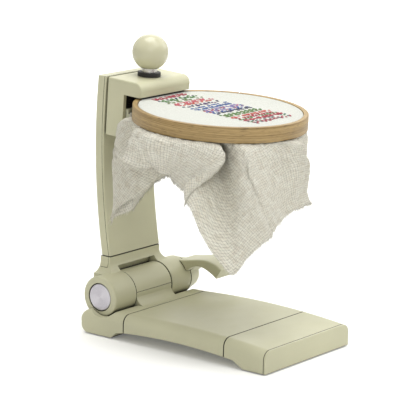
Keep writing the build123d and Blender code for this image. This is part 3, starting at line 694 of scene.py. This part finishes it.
def start_shape(a, free):
    """The free cloth laid in its large folds: every strand keeps its length from ring to hem."""
    pin = pinned_line(a)
    turn = turn_degrees(a)
    plan = [column[:, None] for column in fold_plan(turn)]
    middle = ((plan[0] * VIEW_RIGHT + plan[1] * VIEW_NEAR) * MM - pin)[:, :2]
    hem = ((plan[2] * VIEW_RIGHT + plan[3] * VIEW_NEAR) * MM - pin)[:, :2]
    length = free[-1][:, None]
    for shift, most in ((middle, 0.30), (hem, 0.80)):
        far = np.hypot(*shift.T)[:, None]
        shift *= np.minimum(1, most * length / np.maximum(far, 1e-6))
    u = np.linspace(0, 1, len(free))[:, None, None]
    side = 6.75 * u * (1 - u) ** 2 * middle + np.clip(1.5 * u - 0.5, 0, 1) * hem
    swell = SWELL
    for where, spread, size in SWELLS:
        swell = swell + size * hump(turn, where, spread)
    out = pin[:, :2] / np.linalg.norm(pin[:, :2], axis=1, keepdims=True) * swell[:, None]
    side += out[None] * ((1 - np.exp(-free / 0.007)) * (1 - u[:, :, 0]))[:, :, None]
    step = np.diff(side, axis=0)
    run = np.diff(free, axis=0)
    drop = np.sqrt(np.maximum(run ** 2 - (step ** 2).sum(2), (0.25 * run) ** 2))
    z = pin[None, :, 2] - np.concatenate([np.zeros((1, len(a))), np.cumsum(drop, axis=0)])
    points = np.concatenate([pin[None, :, :2] + side, z[:, :, None]], 2)
    return transform(points.reshape(-1, 3), HOOP).reshape(points.shape)


def collider(low, high, matrix):
    """Box that the simulated cloth rests against."""
    x, y, z = zip(low, high)
    corners = transform([(a, b, c) for a in x for b in y for c in z], matrix) * SIM
    faces = [(0, 1, 3, 2), (4, 6, 7, 5), (0, 4, 5, 1), (2, 3, 7, 6), (0, 2, 6, 4), (1, 5, 7, 3)]
    obj = new_mesh("collider", corners, faces, None, [], smooth=False)
    obj.modifiers.new("Collision", "COLLISION")
    obj.collision.thickness_outer = 0.02
    obj.collision.cloth_friction = 8
    return obj


def simulate(verts, faces, pinned):
    """Lets the cloth hang and returns the settled vertices."""
    scene = bpy.context.scene
    obj = new_mesh("cloth_run", verts * SIM, faces, None, [])
    group = obj.vertex_groups.new(name="pin")
    group.add(list(range(len(verts))), HOLD, "REPLACE")
    group.add([int(i) for i in pinned], 1.0, "REPLACE")
    half_width = 0.045
    lower_jaw = collider((-half_width, -0.0465, -0.064), (half_width, 0.002, BOTTOM - 0.001), HEAD)
    column = collider((-half_width, 0.005, 0.06), (half_width, 0.034, 0.24), Matrix.Identity(4))
    cloth = obj.modifiers.new("Cloth", "CLOTH")
    s = cloth.settings
    s.quality = 5
    s.mass = 0.3
    s.air_damping = 3.0
    s.tension_stiffness = 40
    s.compression_stiffness = 40
    s.shear_stiffness = 14
    s.bending_stiffness = 2.0
    s.tension_damping = s.compression_damping = s.shear_damping = 10
    s.bending_damping = 1.0
    s.vertex_group_mass = "pin"
    s.shrink_min = -0.03
    c = cloth.collision_settings
    c.collision_quality = 2
    c.distance_min = 0.02
    cloth.point_cache.frame_start = 1
    cloth.point_cache.frame_end = FRAMES
    scene.frame_start, scene.frame_end = 1, FRAMES
    for f in range(1, FRAMES + 1):
        scene.frame_set(f)
    done = obj.evaluated_get(bpy.context.evaluated_depsgraph_get())
    out = np.zeros(len(done.data.vertices) * 3, np.float32)
    done.data.vertices.foreach_get("co", out)
    for o in (obj, lower_jaw, column):
        bpy.data.objects.remove(o, do_unlink=True)
    scene.frame_set(1)
    return out.reshape(-1, 3).astype(float) / SIM


def refine(grid, rings, steps):
    """Smooth (cubic) resampling of a lattice that closes on itself sideways."""
    def cubic(data, count, closed):
        n = len(data)
        pos = np.arange(count) * n / count if closed else np.linspace(0, n - 1, count)
        i = np.minimum(np.floor(pos).astype(int), n - 1 if closed else n - 2)
        w = (pos - i).reshape((-1,) + (1,) * (data.ndim - 1))
        take = (lambda k: data[k % n]) if closed else (lambda k: data[np.clip(k, 0, n - 1)])
        p0, p1, p2, p3 = take(i - 1), take(i), take(i + 1), take(i + 2)
        curve = 2 * p0 - 5 * p1 + 4 * p2 - p3 + w * (3 * (p1 - p2) + p3 - p0)
        return p1 + 0.5 * w * (p2 - p0 + w * curve)
    rows = cubic(grid, rings, False)
    return cubic(rows.transpose(1, 0, 2), steps, True).transpose(1, 0, 2)


def sheet_normals(points):
    """Unit normal at every point of a lattice."""
    normal = np.cross(np.gradient(points, axis=1), np.gradient(points, axis=0))
    return normal / (np.linalg.norm(normal, axis=2, keepdims=True) + 1e-12)


def pressed_crease(points, a):
    """Raises a sharp crease that runs down the front panel."""
    height, width = 0.004, 1.6                      # metres, degrees
    u = np.linspace(0, 1, len(points))[:, None]
    away = np.abs(turn_degrees(a)[None] - (9 + 15 * u))
    ridge = np.exp(-away / width) * np.clip(4 * u - 0.3, 0, 1) * height
    return points + sheet_normals(points) * ridge[:, :, None]


def clear_of_jaw(points):
    """Keeps the cloth in front of the lower jaw, also when it is folded up with the arm."""
    local = transform(points.reshape(-1, 3), HOOP.inverted())
    jaw_side, clearance = 0.046, 0.0005
    limit = JAW_FRONT - clearance + 2 * np.maximum(0, np.abs(local[:, 0]) - jaw_side)
    local[:, 1] = np.minimum(local[:, 1], limit)
    return transform(local, HOOP).reshape(points.shape)


def fringe(points, uv):
    """Loose warp and weft ends along the cut edge."""
    last, before = points[-1], points[-3]
    ends_per_point, sides = 4, 3
    shortest, longest = 0.0006, 0.0026
    long_share, long_extra = 0.04, 1.6
    sag = 0.3
    taper = (1, 1, 0.95, 0.85, 0.6)
    count = len(last)
    pos = np.arange(count * ends_per_point) / ends_per_point
    i0 = np.floor(pos).astype(int)
    i1 = (i0 + 1) % count
    w = (pos % 1)[:, None]
    root = last[i0] * (1 - w) + last[i1] * w
    out = root - before[i0] * (1 - w) - before[i1] * w
    out /= np.linalg.norm(out, axis=1, keepdims=True) + 1e-9
    length = rng.uniform(shortest, longest, len(root))
    length = length * (1 + (rng.random(len(root)) < long_share) * long_extra)
    jitter = rng.normal(0, 0.35, root.shape)
    t = np.linspace(-0.3, 1, len(taper))
    grow = np.clip(t, 0, 1)
    line = root[:, None] + out[:, None] * (t[None, :, None] * length[:, None, None])
    line += jitter[:, None] * (grow ** 1.6)[None, :, None] * length[:, None, None]
    line[:, :, 2] -= grow[None, :] ** 2 * length[:, None] * sag
    verts, faces = tubes(line, 0.00022, sides, taper)
    root_uv = uv[-1][i0] * (1 - w) + uv[-1][i1] * w
    return verts, faces, np.repeat(root_uv, len(taper) * sides, axis=0)


def build_drape():
    """The free part of the cloth with its frayed edge."""
    a, free, _ = cloth_lattice(STEPS, RINGS)
    flat = start_shape(a, free).reshape(-1, 3)
    flat += rng.normal(0, 0.0002, flat.shape) * (np.arange(len(flat)) >= STEPS)[:, None]
    flat = simulate(flat, grid_faces(RINGS, STEPS, wrap_cols=True), np.arange(STEPS))
    points = refine(flat.reshape(RINGS, STEPS, 3), FINE_RINGS, FINE_STEPS)
    a, _, uv = cloth_lattice(FINE_STEPS, FINE_RINGS)
    points = clear_of_jaw(pressed_crease(points, a))
    edge_v, edge_f, edge_uv = fringe(points, uv)

    faces = grid_faces(FINE_RINGS, FINE_STEPS, wrap_cols=True)
    flat = points.reshape(-1, 3)
    half = sheet_normals(points).reshape(-1, 3) * CLOTH_THICK / 2
    count = len(flat)
    both = np.concatenate([flat + half, flat - half])
    rim = []
    for row in (0, FINE_RINGS - 1):
        for i in range(FINE_STEPS):
            p, q = row * FINE_STEPS + i, row * FINE_STEPS + (i + 1) % FINE_STEPS
            rim.append((p, q, q + count, p + count) if row else (q, p, p + count, q + count))
    all_faces = [tuple(q) for q in faces] + [tuple(int(i) + count for i in q[::-1]) for q in faces] + rim
    v, f = merge([(both, all_faces), (edge_v, edge_f)])
    uvs = np.concatenate([uv.reshape(-1, 2), uv.reshape(-1, 2), edge_uv])
    obj = new_mesh("hanging_linen", v, f, "hoop", [NATURAL], uvs)
    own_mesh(obj)
    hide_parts("cloth_drape")


# ---------------------------------------------------------------- small hardware
def helix(radius, pitch, low, high, depth, matrix, sides=20):
    """Raised screw thread as one long tube."""
    turns = (high - low) / pitch
    count = int(turns * sides)
    t = np.arange(count) / sides
    turn = 2 * pi * t
    path = np.stack([radius * np.cos(turn), radius * np.sin(turn), low + t * pitch], 1)
    v, f = tubes(path[None], depth, 4)
    return transform(v, matrix), f


def build_threads():
    """Threads on the clamp screw and on the tension screw."""
    v, f = helix(radius=0.0039, pitch=0.002, low=-0.058, high=-0.019, depth=0.00045, matrix=CLAMP)
    new_mesh("clamp_screw_thread", v, f, "knob", [ZINC])
    screw_r, low, high = 0.102, -0.0065, 0.0138
    along = HARDWARE @ Matrix.Translation((screw_r, 0, 0)) @ Matrix.Rotation(radians(-90), 4, "X")
    v, f = helix(radius=0.00195, pitch=0.0007, low=low, high=high, depth=0.00022, matrix=along, sides=14)
    new_mesh("tension_screw_thread", v, f, "hoop_screw", [BRASS])


def recess_shade(matrix, size, body, name):
    """Black cross-shaped sheet, a painted shadow standing in for the drive hollow of a screw head that faces
    local +z.
    """
    half_width, half_length, lift = size * 0.16, size * 0.62, size * 0.04
    pts, faces = [], []
    for a, b in ((half_width, half_length), (half_length, half_width)):
        base = len(pts)
        pts += [(-a, -b, lift), (a, -b, lift), (a, b, lift), (-a, b, lift)]
        faces.append((base, base + 1, base + 2, base + 3))
    return new_mesh(name, transform(pts, matrix), faces, body, [BLACK], smooth=False)


def build_recess_shadows():
    """Painted shadows in the drive recesses of the six screws under the spine, each screw turned a little
    further.
    """
    head_z = 0.01278
    downward = Matrix.Rotation(pi, 4, "X")
    places = [(x, y) for x in (-0.014, 0.014) for y in (-0.031, -0.110, -0.200)]
    for k, (x, y) in enumerate(places):
        at = Matrix.Translation((x, y, head_z)) @ downward @ Matrix.Rotation(0.4 * k, 4, "Z")
        # Each screw head gets a black sheet as painted shadow in its drive hollow.
        recess_shade(at, 0.004, "base", f"spine_screw_recess_shadow_{k}")


# ---------------------------------------------------------------- stage, light, camera
CAMERA_TURN = radians(-52.15)
CAMERA_RISE = radians(12.51)
CAMERA_ROLL = radians(1.05)
CAMERA_PLACE = (-1.85085, -1.53095, 0.66847)
LOOK_AT = (0, -0.1, 0.12)
# Soft boxes: name, place, target, side of the square, watts.
LIGHTS = [
    ("key", (0.1, -1.5, 2.3), LOOK_AT, 1.5, 14),
    ("side", (1.8, -0.8, 1.3), LOOK_AT, 1.5, 10),
    ("top", (0.1, 0.1, 2.4), LOOK_AT, 1.6, 35),
    ("near", (-1.5, -1.3, 1.3), LOOK_AT, 1.4, 7),
    ("rear", (1.3, 0.9, 1.15), (0, -0.13, 0.03), 1.2, 4),
]
ROOM_COLOUR = (1.0, 0.988, 0.935, 1)
ROOM_STRENGTH = 0.52


def build_stage():
    """Pale floor that curves up into a wall behind the stand."""
    s = Shader("studio_floor")
    s.set(Base_Color=s.mix(s.noise(s.coords(), 2.0), rgb(243, 243, 242), rgb(247, 247, 246)), Roughness=0.6)
    s.set(Specular_IOR_Level=0.15, Emission_Color=(1, 1, 1, 1))
    away = s.node("VectorMath", {"operation": "LENGTH"}, Vector=s.coords()).outputs["Value"]
    glow = s.remap(away, 0.8, 2.5, 0.12, 0.70)      # keeps the far floor white to the camera
    s.set(Emission_Strength=s.math("MULTIPLY", s.node("LightPath").outputs["Is Camera Ray"], glow))
    n = 24
    front, curve_start, curve_r, top, half_width = -4.0, 1.4, 1.2, 4.5, 5
    y = [front] + [curve_start + curve_r * sin(radians(90 * k / n)) for k in range(n + 1)]
    z = [0.0] + [curve_r - curve_r * cos(radians(90 * k / n)) for k in range(n + 1)]
    y.append(curve_start + curve_r)
    z.append(top)
    turn = Matrix.Rotation(radians(-52), 4, "Z")
    pts = transform([(x, a, b) for a, b in zip(y, z) for x in (-half_width, half_width)], turn)
    pts[:, 2] -= 0.0001
    faces = [(2 * i, 2 * i + 1, 2 * i + 3, 2 * i + 2) for i in range(len(y) - 1)]
    new_mesh("studio_floor", pts, faces, None, [s.mat])


def area_light(name, place, target, side, power):
    light = bpy.data.lights.new(name, "AREA")
    light.shape = "RECTANGLE"
    light.size = light.size_y = side
    light.energy = power
    obj = bpy.data.objects.new(name, light)
    obj.location = place
    obj.rotation_euler = (Vector(target) - Vector(place)).to_track_quat("-Z", "Y").to_euler()
    bpy.context.scene.collection.objects.link(obj)


def build_room():
    """Soft even light from all round. The camera itself sees plain white past the floor."""
    world = bpy.data.worlds.new("studio")
    world.use_nodes = True
    nodes, links = world.node_tree.nodes, world.node_tree.links
    room = nodes["Background"]
    room.inputs[0].default_value = ROOM_COLOUR
    room.inputs[1].default_value = ROOM_STRENGTH
    white = nodes.new("ShaderNodeBackground")
    white.inputs[0].default_value = (1, 1, 1, 1)
    mix = nodes.new("ShaderNodeMixShader")
    links.new(nodes.new("ShaderNodeLightPath").outputs["Is Camera Ray"], mix.inputs[0])
    links.new(room.outputs[0], mix.inputs[1])
    links.new(white.outputs[0], mix.inputs[2])
    links.new(mix.outputs[0], nodes["World Output"].inputs["Surface"])
    bpy.context.scene.world = world
    bpy.context.scene.view_settings.view_transform = "Standard"


def build_camera():
    """Long lens, a little above the hoop and to the left of the nose."""
    cam = bpy.data.cameras.new("camera")
    cam.sensor_width = 36
    cam.lens = 193.25
    obj = bpy.data.objects.new("camera", cam)
    right = Vector((cos(CAMERA_TURN), sin(CAMERA_TURN), 0))
    level_back = Vector((sin(CAMERA_TURN), -cos(CAMERA_TURN), 0))
    back = level_back * cos(CAMERA_RISE) + Vector((0, 0, sin(CAMERA_RISE)))
    up = back.cross(right)
    rolled_right = right * cos(CAMERA_ROLL) + up * sin(CAMERA_ROLL)
    rolled_up = up * cos(CAMERA_ROLL) - right * sin(CAMERA_ROLL)
    facing = Matrix((rolled_right, rolled_up, back)).transposed().to_4x4()
    obj.matrix_world = Matrix.Translation(CAMERA_PLACE) @ facing
    bpy.context.scene.collection.objects.link(obj)
    bpy.context.scene.camera = obj


dress_cad_nodes()
build_rings()
build_drum()
build_stitches()
build_drape()
build_threads()
build_recess_shadows()
build_stage()
for box in LIGHTS:
    area_light(*box)
build_room()
build_camera()
